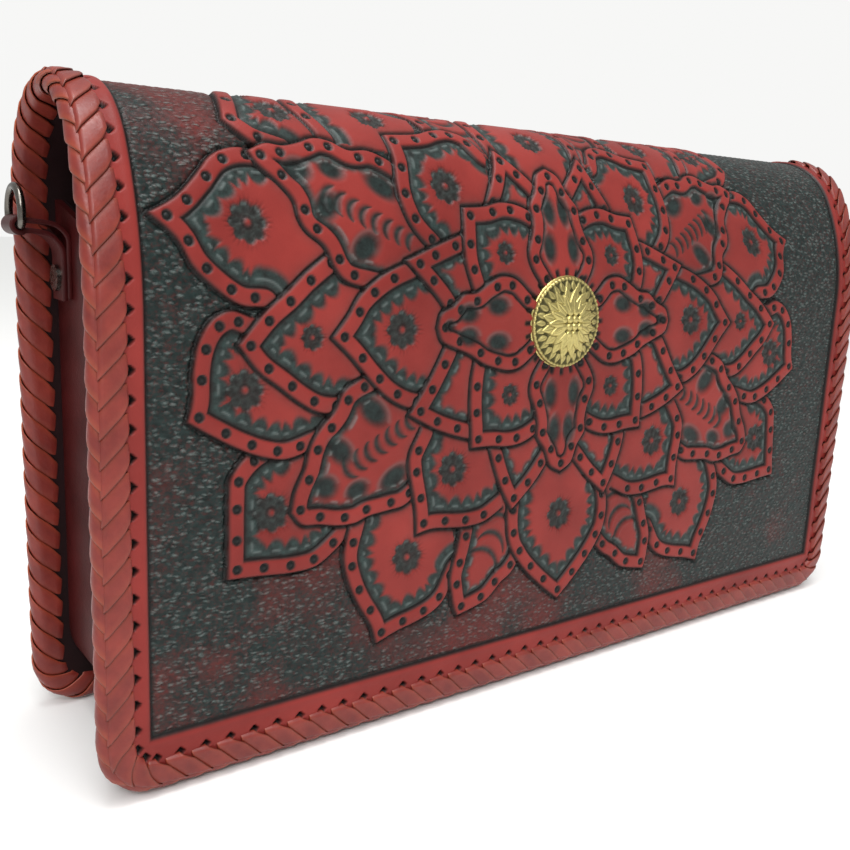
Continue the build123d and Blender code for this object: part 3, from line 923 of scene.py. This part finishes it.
def plated_steel(name):
    made, n = material(name, metallic=1.0)
    place = n.millimetres()
    wear = n.noise(place, 1.0, 5, 0.7)
    colour = n.mix(wear, (0.10, 0.09, 0.08, 1), (0.20, 0.185, 0.165, 1))
    n.finish(Base_Color=colour, Roughness=n.blend_numbers(wear, 0.3, 0.7, 0.18, 0.36),
             Normal=n.bump(n.noise(place, 4, 2), 0.05, 0.1))
    return made


def set_material(obj, made):
    obj.data.materials.clear()
    obj.data.materials.append(made)


# ---- leather sheets ----
def corner_squeeze(x, rise, half=sheet_half, radius=corner_radius):
    """x moved inwards near the lower edge, so that a grid follows the rounded corner.
    rise is the height above the edge."""
    lift = np.clip(rise, 0, radius)
    width = half - radius + np.sqrt(radius**2 - (radius - lift) ** 2)
    start = half - radius - 2
    share = (np.abs(x) - start) / (half - start)
    return np.where(np.abs(x) > start, np.sign(x) * (start + share * (width - start)), x)


def tooled_sheet(name, rows):
    """The tooled hide between two rows of the map, as a closed sheet."""
    s = map_s[rows]
    x, along = np.meshgrid(map_x, s)
    rise = np.minimum(along - flap_edge, s_back_edge - along)
    x = corner_squeeze(x, rise)
    outer = on_bag(x, along, -height[rows])
    inner_x = x[:, [0, -1]]
    steps = np.linspace(0, 1, 24)
    inner_x = inner_x[:, :1] * (1 - steps) + inner_x[:, 1:] * steps
    inner = on_bag(inner_x, s[:, None], leather)
    obj = shell(name, outer, inner)
    u = (map_x + sheet_half) / (2 * sheet_half)
    v = (s - s.min()) / (s.max() - s.min())
    count = inner_x.size
    for key, values in (("dye_and_shade", dye_and_shade), ("ink", ink), ("ground", ground), ("glint", glint)):
        attribute(obj, key, np.concatenate([values[rows].ravel(), np.zeros(count)]))
    uu, vv = np.meshgrid(u * 0.98, v * 0.98)
    iu, iv = np.meshgrid(0.985 + 0.01 * steps, v * 0.98)
    flat_uv(obj, np.concatenate([uu.ravel(), iu.ravel()]), np.concatenate([vv.ravel(), iv.ravel()]))
    size = (2 * sheet_half / 0.98, (s.max() - s.min()) / 0.98)
    set_material(obj, tooled_leather(name, size))
    return obj


def lining_sheet(name, s_from, s_to, step=2.5):
    """The lining under the hide. It puckers a little between the stitches."""
    s = np.concatenate([np.arange(s_from, s_to, step), [s_to]])
    columns = np.linspace(-sheet_half, sheet_half, 91)
    x, along = np.meshgrid(columns, s)
    rise = np.minimum(along - flap_edge, s_back_edge - along)
    x = corner_squeeze(x, np.clip(rise, 0.4, None))
    edge = np.clip((sheet_half - 9 - np.abs(x)) / 20, 0, 1)
    pucker = 0.25 * edge * np.sin(x / 9.0 + 0.6 * np.sin(along / 17)) * np.sin(along / 13.0)
    outer = on_bag(x, along, leather)
    inner = on_bag(x, along, sheet + pucker)
    return shell(name, outer, inner)


front_rows = np.arange(0, crown_row + 1)
fine_rows = round((s_crown + 16 - flap_edge) / row_step)
coarse_rows = np.arange(fine_rows, map_rows - 1, 2)
back_rows = np.concatenate([np.arange(crown_row, fine_rows), coarse_rows, [map_rows - 1]])
flap_hide = tooled_sheet("flap_tooled_leather", front_rows)
back_hide = tooled_sheet("back_tooled_leather", back_rows)

lining_material = cloth_lining("wine_lining")
flap_lining = lining_sheet("flap_lining_sheet", flap_edge, s_crown)
back_lining = lining_sheet("back_lining_sheet", s_crown, s_back_edge)
for piece in (flap_lining, back_lining):
    set_material(piece, lining_material)


# ---- braided edges ----
def braid(name, path, place, toward=1, past=14.0):
    """The laced edge along a path, running no more than past beyond its ends. Each stitch has a front arm
    that slants from its hole to the edge, and a rear arm that slants back from there to the other side.
    toward is 1 where the front arms run on along the path, and -1 where they run back."""
    edge_run = math.pi * lace_edge_radius
    total = 2 * front_arm + edge_run
    apex = front_arm + 0.04 * edge_run
    lead = 1.05 * path.pitch
    sideways = np.array([-1, -0.96, -0.82, -0.3, 0.3, 0.82, 0.96, 1.0, 0.6, 0.0, -0.6])
    crown = np.array([0.0, 0.55, 0.82, 1.0, 1.0, 0.82, 0.55, 0.0, -1.0, -1.0, -1.0])
    rings, wears, gap_shades = [], [], []

    def strip(t, q, lift, width, rear):
        """A strip along the line (t, q), with its lift off the leather and its width at each place."""
        tt = np.clip(t[:, None] - sideways * width[:, None] / 2, -past, path.length + past)
        qq = np.broadcast_to(q[:, None], tt.shape)
        shingle = -0.30 * sideways * toward
        up = lift[:, None] + 0.36 * crown + shingle
        x, h, nx, nh = path.at(tt)
        turn = np.clip((qq - front_arm) / edge_run, 0, 1) * math.pi
        reach = sheet / 2 + up
        before = np.clip(front_arm - qq, 0, None)
        after = np.clip(qq - front_arm - edge_run, 0, None)
        out = reach * np.sin(turn) - before - after
        depth = sheet / 2 - reach * np.cos(turn)
        rings.append(place(x + nx * out, h + nh * out, depth))
        rubbed = np.where(rear & (qq < front_arm + 0.6 * edge_run), 1.6, 0.7)
        wears.append(np.where(crown < 0, 0, np.abs(sideways) ** 6) * rubbed)
        # painted shade on each strip's underside and along one edge, where it meets its neighbour
        gap_shades.append(np.broadcast_to(np.where(crown < 0, 1.0, 0.0) + 0.6 * (sideways < -0.95), tt.shape))

    count = 15
    k = np.linspace(0, 1, count)
    for index in range(path.stitches):
        t0 = (index + 0.15) * path.pitch
        wobble = random.normal(0, 0.10, 3)
        # front arm
        q = 0.1 + (apex + 0.9) * k
        slant = toward * lead / (apex + 0.6)
        t = t0 - toward * 2.6 + slant * (q + 0.6) + wobble[0] * np.sin(math.pi * k)
        lift = -0.9 + 1.35 * ramp(k, 0, 0.10) + 0.10 * np.sin(math.pi * k)
        lift += 0.08 * wobble[1] - 0.5 * ramp(k, 0.85, 1)
        width = 3.8 + 2.6 * ramp(k, 0, 0.3)
        strip(t, q, lift, width, False)
        # rear arm
        q = apex - 1.4 + (total - apex + 1.6) * k
        slant = toward * (lead + path.pitch) / (total - apex)
        t = t0 - toward * 2.6 + toward * lead - slant * (q - apex) + wobble[2] * np.sin(math.pi * k)
        lift = -0.1 + 0.30 * np.sin(math.pi * k) - 1.1 * ramp(k, 0.92, 1)
        width = 6.3 - 1.8 * ramp(k, 0.8, 1)
        strip(t, q, lift, width, True)

    ring_points = len(sideways)
    points = np.concatenate([r.reshape(-1, 3) for r in rings])
    base = np.arange(count * ring_points).reshape(count, ring_points)
    following = np.roll(base, -1, axis=1)
    one = np.stack([base[:-1], following[:-1], following[1:], base[1:]], -1).reshape(-1, 4)
    offsets = np.arange(len(rings)) * count * ring_points
    quads = (one[None] + offsets[:, None, None]).reshape(-1, 4)
    caps = np.concatenate([base[0][::-1][None], base[-1][None]])
    caps = (caps[None] + offsets[:, None, None]).reshape(-1, ring_points)
    obj = make_object(name, points, [quads, caps])
    attribute(obj, "wear", np.concatenate([w.ravel() for w in wears]) * 0.55)
    attribute(obj, "gap_shade", np.concatenate([g.ravel() for g in gap_shades]))
    cells = math.ceil(math.sqrt(len(rings)))
    column, row = np.arange(len(rings)) % cells, np.arange(len(rings)) // cells
    u = (np.arange(ring_points) / (ring_points - 1) * 0.9 + 0.05)[None, None] + column[:, None, None]
    v = (k * 0.9 + 0.05)[None, :, None] + row[:, None, None]
    u, v = np.broadcast_arrays(u, v)
    flat_uv(obj, u / cells, v / cells)
    return obj


lace_material = lace_leather("red_lace")
flap_braid = braid("flap_braid", flap_path, flap_place)
back_braid = braid("back_braid", back_path, back_place, toward=-1)
for piece in (flap_braid, back_braid):
    set_material(piece, lace_material)

# ---- front panel ----
front_face = low("front_leather")[1]
front_back = high("front_lining")[1]
front_thick = front_back - front_face
front_half = high("front_leather")[0]
front_top = high("front_leather")[2]
front_edge = low("front_leather")[2]


def on_front(x, z, depth):
    """Point of the flat front panel, at a depth under its outside."""
    x, z, depth = np.broadcast_arrays(np.asarray(x, float), z, depth)
    return np.stack([x, front_face + depth, z], axis=-1)


def front_sheet(name, near, far):
    z = np.linspace(front_edge, front_top, 60)
    x, zz = np.meshgrid(np.linspace(-front_half, front_half, 121), z)
    x = corner_squeeze(x, np.clip(zz - front_edge, 0.3, None), front_half)
    ripple = 0.18 * np.sin(x / 11.0) * np.sin(zz / 15.0) * np.clip((front_half - 10 - np.abs(x)) / 20, 0, 1)
    return shell(name, on_front(x, zz, near - ripple * (near == 0)), on_front(x, zz, far))


front_hide = front_sheet("front_panel_leather", 0, front_thick - 0.8)
front_inside = front_sheet("front_panel_lining", front_thick - 0.8, front_thick)
red_leather = plain_leather("oxblood_leather", (0.060, 0.006, 0.006, 1), (0.026, 0.003, 0.003, 1))
set_material(front_hide, red_leather)
set_material(front_inside, lining_material)
front_path = EdgePath(front_half - edge_line_inset, front_top - front_edge - edge_line_inset,
                      corner_radius - edge_line_inset)


def front_place(x, h, depth):
    return on_front(x, front_edge + edge_line_inset + h, depth * front_thick / sheet)


front_braid = braid("front_panel_braid", front_path, front_place, past=0.0)
set_material(front_braid, lace_material)

# ---- binding along the mouth of the pocket ----
binding_drop = high("mouth_binding")[2] - low("mouth_binding")[2] - 2.0
binding_half = high("mouth_binding")[0]


def mouth_binding():
    """A strip of leather folded over the top edge and stitched down."""
    thick = 0.95
    radius = front_thick / 2
    angle = np.linspace(0, math.pi, 13)
    middle_y = front_face + radius
    outer = [(middle_y - (radius + thick) * math.cos(a), front_top + (radius + thick) * math.sin(a) * 0.85)
             for a in angle]
    inner = [(middle_y - (radius + 0.03) * math.cos(a), front_top + (radius + 0.03) * math.sin(a) * 0.6)
             for a in angle[::-1]]
    drop = front_top - binding_drop + 2
    profile = [(outer[0][0] + 0.35, drop), (outer[0][0], drop + 0.6), *outer,
               (outer[-1][0], drop + 0.6), (outer[-1][0] - 0.35, drop),
               (inner[0][0], drop), *inner, (inner[-1][0], drop)]
    profile = np.array(profile)
    xs = np.linspace(-binding_half, binding_half, 180)
    wave = 0.12 * np.sin(xs / 3.1) + 0.1 * np.sin(xs / 7.7)
    points = np.stack([np.broadcast_to(xs[:, None], (180, len(profile))),
                       np.broadcast_to(profile[:, 0], (180, len(profile))),
                       profile[:, 1][None] + wave[:, None] * (profile[:, 1] < front_top - 4)[None]], -1)
    return loft("mouth_binding_strip", points, sharp=50)


binding = mouth_binding()
set_material(binding, red_leather)

# ---- gusset ----
gusset_half = high("gusset_leather")[0]
gusset_bottom = low("gusset_leather")[2]
gusset_front = low("gusset_leather")[1]
gusset_back = high("gusset_leather")[1]
gusset_corner = 12.0
gusset_top_front = 117.0
gusset_top_back = high("gusset_leather")[2]
gusset_leather = 1.6


def gusset_sheet(name, near, far):
    """A layer of the strip that joins the front panel to the back, down one side, under and up the other.
    Its sides fold in a little between the two seams, less near the loop that holds the ring."""
    side = 100
    turn = np.linspace(0, math.pi / 2, 14)
    ys = np.linspace(gusset_front, gusset_back, 33)
    share = (ys - gusset_front) / (gusset_back - gusset_front)

    def layer(depth):
        radius = gusset_corner - depth
        half, bottom = gusset_half - depth, gusset_bottom + depth
        top = gusset_top_front + (gusset_top_back - gusset_top_front) * share
        rows = []
        for k in np.linspace(1, 0, side, endpoint=False):
            z = bottom + radius + (top - bottom - radius) * k
            fold = 2.1 * np.sin(math.pi * share) ** 2 * ramp(1 - k, 0.22, 0.5) * ramp(k, 0, 0.25)
            crease = 0.35 * np.sin(z / 3.3 + 4 * share) * np.sin(math.pi * share)
            crease *= ramp(1 - k, 0.2, 0.4) * ramp(k, 0, 0.2)
            rows.append(np.stack([-half + fold + crease, ys, z], -1))
        for a in turn:
            x = -half + radius * (1 - math.cos(a))
            z = bottom + radius * (1 - math.sin(a))
            rows.append(np.stack([np.full_like(ys, x), ys, np.full_like(ys, z)], -1))
        left = np.array(rows)
        right = left[::-1] * np.array([-1, 1, 1])
        floor = [np.stack([np.full_like(ys, x), ys, np.full_like(ys, bottom)], -1)
                 for x in np.linspace(-half + radius, half - radius, 80)[1:-1]]
        return np.concatenate([left, floor, right])

    return shell(name, layer(near), layer(far), sharp=60)


gusset_hide = gusset_sheet("gusset_strip", 0, gusset_leather)
gusset_inside = gusset_sheet("gusset_lining_strip", gusset_leather, gusset_leather + 0.8)
set_material(gusset_hide, red_leather)
set_material(gusset_inside, lining_material)

# ---- loops that hold the rings ----
tab_leather = 1.1
tab_width = 8.0


def ring_loop(name, side):
    """A strap folded round the bar of a ring, both ends riveted to the side of the bag."""
    lower, upper = low(f"ring_tab_{name}"), high(f"ring_tab_{name}")
    bar = joint_place[f"ring_swing_{name}"]
    middle_y = (lower[1] + upper[1]) / 2
    wall = gusset_half
    reach = 1.1 + tab_leather / 2
    tail = lower[2]
    out = abs(bar[0])
    path = [(wall + 0.5 * tab_leather, tail + 0.4), (wall + 0.5 * tab_leather, bar[2] - 6),
            (wall + 0.7 * tab_leather, bar[2] - 2.2), (wall + 3.5, bar[2] + 0.35), (out - 2.6, bar[2] + 1.0)]
    for a in np.radians(np.arange(130, -131, -20)):
        path.append((out + reach * math.cos(a), bar[2] + reach * math.sin(a)))
    path += [(out - 2.8, bar[2] - 1.2), (wall + 4.6, bar[2] - 1.9), (wall + 1.9 * tab_leather, bar[2] - 4.6),
             (wall + 1.5 * tab_leather, bar[2] - 8), (wall + 1.5 * tab_leather, tail)]
    line = through(path, 4)
    tangent = np.gradient(line, axis=0)
    tangent /= np.hypot(*tangent.T)[:, None]
    normal = np.stack([-tangent[:, 1], tangent[:, 0]], -1)
    half = tab_leather / 2
    corner = [(-1, -0.55), (-0.96, -1), (0, -1.06), (0.96, -1), (1, -0.55), (1, 0.55), (0.96, 1), (0, 1.06),
              (-0.96, 1), (-1, 0.55)]
    rings = []
    for (x, z), (nx, nz) in zip(line, normal):
        rings.append([(side * (x + nx * half * b), middle_y + a * tab_width / 2, z + nz * half * b)
                      for a, b in corner])
    return loft(f"ring_loop_{name}", np.array(rings), sharp=50)


loops = {name: ring_loop(name, side) for name, side in (("left", -1), ("right", 1))}
for name, loop in loops.items():
    set_material(loop, red_leather)


# ---- concho ----
def concho_piece():
    """A domed screw-back concho: a sunflower of two rows of pointed petals round a cluster of seeds,
    inside a ring of small teeth and a beaded rim."""
    radius = concho_radius
    rise = front_y - low("concho")[1]
    rings, spokes = 110, 384
    rr = np.linspace(0.004, 1, rings) ** 0.85 * radius
    turn = np.linspace(0, 2 * math.pi, spokes, endpoint=False)
    r, a = np.meshgrid(rr, turn, indexing="ij")
    dome = 0.1 + (rise - 1.85) * (1 - (r / radius) ** 2)
    relief = np.zeros_like(r)

    def petals(count, start, end, width, phase, lift):
        """A ring of pointed petals with a vein."""
        nonlocal relief
        sector = (a * count / (2 * math.pi) + phase) % 1 - 0.5
        side = np.abs(sector) * 2 * math.pi * r / count
        k = np.clip((r - start) / (end - start), 0, 1)
        half = width * np.sin(math.pi * np.clip(k, 0.0, 1) ** 0.75) ** 0.8 * (1 - 0.25 * k)
        body = ramp(half - side, -0.12, 0.22) * (r > start) * (r < end)
        shape = lift * (0.55 + 0.45 * np.sqrt(np.clip(1 - (side / (half + 0.01)) ** 2, 0, 1)))
        shape = shape - 0.22 * lift * np.exp(-((side / 0.12) ** 2)) * (k > 0.1) * (k < 0.85)
        relief = np.where(body > 0.02, np.maximum(relief * (1 - body), shape * body), relief)

    petals(30, 8.6, 11.4, 1.0, 0.5, 0.50)
    petals(16, 3.0, 9.9, 2.2, 0.0, 0.72)
    petals(16, 2.8, 8.0, 1.6, 0.5, 1.05)
    rim_mark = np.exp(-(((r - 11.75) / 0.55) ** 2))
    beads = 0.5 + 0.5 * np.cos(60 * a)
    relief = np.maximum(relief, rim_mark * (0.42 + 0.3 * beads))
    cluster = np.clip(1 - (r / 3.5) ** 2, 0, 1)
    relief = np.where(r < 3.4, 0.35 * np.sqrt(cluster), relief)
    seeds = [(column * 2.0, row * 2.0) for row, width in ((1.5, 2), (0.5, 4), (-0.5, 4), (-1.5, 2))
             for column in np.arange(width) - (width - 1) / 2]
    px, pz = r * np.cos(a), r * np.sin(a)
    for sx, sz in seeds:
        ball = np.clip(1 - ((px - sx) ** 2 + (pz - sz) ** 2) / 1.06**2, 0, 1)
        relief = np.where(ball > 0, np.maximum(relief, 0.45 + 0.80 * np.sqrt(ball)), relief)
    edge = ramp(r, radius - 0.55, radius)
    out = dome + relief * 0.9 - edge * 1.3
    out = np.minimum(out, rise)
    face = np.stack([concho_x + px, front_y - out, concho_z + pz], -1)
    back_rim = np.stack([concho_x + radius * 0.985 * np.cos(turn), np.full(spokes, front_y),
                         concho_z + radius * 0.985 * np.sin(turn)], -1)
    points = np.concatenate([face.reshape(-1, 3), back_rim])
    index = np.arange(rings * spokes).reshape(rings, spokes)
    follow = np.roll(index, -1, axis=1)
    last = rings * spokes + np.arange(spokes)
    quads = np.stack([index[:-1], index[1:], follow[1:], follow[:-1]], -1).reshape(-1, 4)
    wall = np.stack([index[-1], last, np.roll(last, -1), follow[-1]], -1)
    obj = make_object("concho_sunflower", points, [quads, wall, index[0][::-1][None], last[::-1][None]])
    shadow = np.clip(1.15 - 1.5 * relief, 0, 1) * (1 - ramp(r, radius - 0.7, radius - 0.3))
    shadow = np.where(relief > 0.42, shadow * 0.4, shadow)
    attribute(obj, "recess", np.concatenate([shadow.ravel(), np.zeros(spokes)]))
    return obj


concho = concho_piece()
set_material(concho, aged_brass("aged_brass"))

# ---- metal pieces that stay as the CAD made them ----
steel = plated_steel("nickel_plate")
for name in ("ring_left", "ring_right", "tab_rivets", "snap_stud", "snap_stud_washer", "snap_socket",
             "snap_socket_washer"):
    set_material(frame["nodes"][name], steel)
set_material(frame["nodes"]["concho_screw"], steel)
for name in ("ring_left", "ring_right", "tab_rivets", "snap_stud", "snap_socket", "concho_screw"):
    node = frame["nodes"][name]
    node.data.shade_smooth()
    node.data.set_sharp_from_angle(angle=math.radians(35))


def bends_at_flap(piece):
    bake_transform(piece)


def bends_at_back(piece):
    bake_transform(piece)


for piece in (flap_hide, flap_lining, flap_braid):
    bends_at_flap(piece)
for piece in (back_hide, back_lining, back_braid):
    bends_at_back(piece)
for piece in (front_hide, front_inside, front_braid, binding, gusset_hide, gusset_inside, *loops.values()):
    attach(piece, "bag")
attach(concho, "flap")
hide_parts("flap_leather", "fold_leather")
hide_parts("back_leather")
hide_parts("flap_lining", "fold_lining")
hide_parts("back_lining")
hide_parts("flap_lace", "fold_lace_left", "fold_lace_right")
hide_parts("back_lace")
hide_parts("front_leather")
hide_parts("front_lining")
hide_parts("front_lace")
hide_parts("mouth_binding")
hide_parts("gusset_leather")
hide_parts("gusset_lining")
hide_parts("concho")
for name, loop in loops.items():
    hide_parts(f"ring_tab_{name}")


# ---- floor, light and camera ----
def floor():
    """A pale table top, far larger than the bag."""
    reach, count = 4000.0, 13
    line = np.linspace(-reach, reach, count)
    x, y = np.meshgrid(line, line)
    points = np.stack([x, y, np.zeros_like(x)], -1).reshape(-1, 3)
    obj = make_object("floor", points, [grid_quads(count, count)])
    made, n = material("pale_floor", roughness=0.9, specular=0.2)
    tone = n.noise(n.millimetres(), 0.004, 2)
    n.finish(Base_Color=n.mix(tone, (0.90, 0.90, 0.89, 1), (0.92, 0.92, 0.91, 1)))
    obj.data.materials.append(made)


def area_light(name, place, aim, size, watts):
    data = bpy.data.lights.new(name, "AREA")
    data.shape, data.size, data.energy = "DISK", size, watts
    obj = bpy.data.objects.new(name, data)
    bpy.context.scene.collection.objects.link(obj)
    back = np.array(place, float) - np.array(aim, float)
    obj.location = place
    obj.rotation_mode = "QUATERNION"
    obj.rotation_quaternion = Vector(-back).to_track_quat("-Z", "Y")


floor()
world = bpy.data.worlds.new("studio")
world.use_nodes = True
sky = world.node_tree.nodes["Background"]
sky.inputs["Color"].default_value = (1, 1, 0.99, 1)
seen = world.node_tree.nodes.new("ShaderNodeMapRange")
seen.inputs["To Min"].default_value = 0.55      # light that falls on the bag
seen.inputs["To Max"].default_value = 0.93      # the pale backdrop itself
paths = world.node_tree.nodes.new("ShaderNodeLightPath")
world.node_tree.links.new(paths.outputs["Is Camera Ray"], seen.inputs["Value"])
world.node_tree.links.new(seen.outputs[0], sky.inputs["Strength"])
bpy.context.scene.world = world


def sun_light(name, toward, strength, spread):
    """Soft light from far away, which lights the table evenly."""
    data = bpy.data.lights.new(name, "SUN")
    data.energy, data.angle = strength, math.radians(spread)
    obj = bpy.data.objects.new(name, data)
    bpy.context.scene.collection.objects.link(obj)
    obj.rotation_mode = "QUATERNION"
    obj.rotation_quaternion = Vector(toward).to_track_quat("-Z", "Y")


sun_light("studio_light", (0.25, 0.55, -1.0), 1.25, 40)
area_light("key_light", (-0.55, -0.75, 0.75), (0, 0, 0.08), 0.35, 3.5)
area_light("top_light", (-0.1, -0.1, 1.0), (0, 0, 0.1), 0.45, 5)

camera_data = bpy.data.cameras.new("camera")
camera_data.sensor_width = 36
camera_data.lens = 40.68               # fitted by a separate script, with the place and angles below
camera = bpy.data.objects.new("camera", camera_data)
bpy.context.scene.collection.objects.link(camera)
camera_place = (-0.1906, -0.2112, 0.1257)
camera_heading = math.radians(36.65)   # turned from straight at the front, towards the right
camera_pitch = math.radians(-11.83)
camera_roll = math.radians(2.53)
camera.matrix_world = (Matrix.Translation(camera_place) @ Matrix.Rotation(-camera_heading, 4, "Z")
                       @ Matrix.Rotation(math.pi / 2 + camera_pitch, 4, "X")
                       @ Matrix.Rotation(camera_roll, 4, "Z"))
bpy.context.scene.camera = camera
bpy.context.scene.view_settings.view_transform = "Standard"
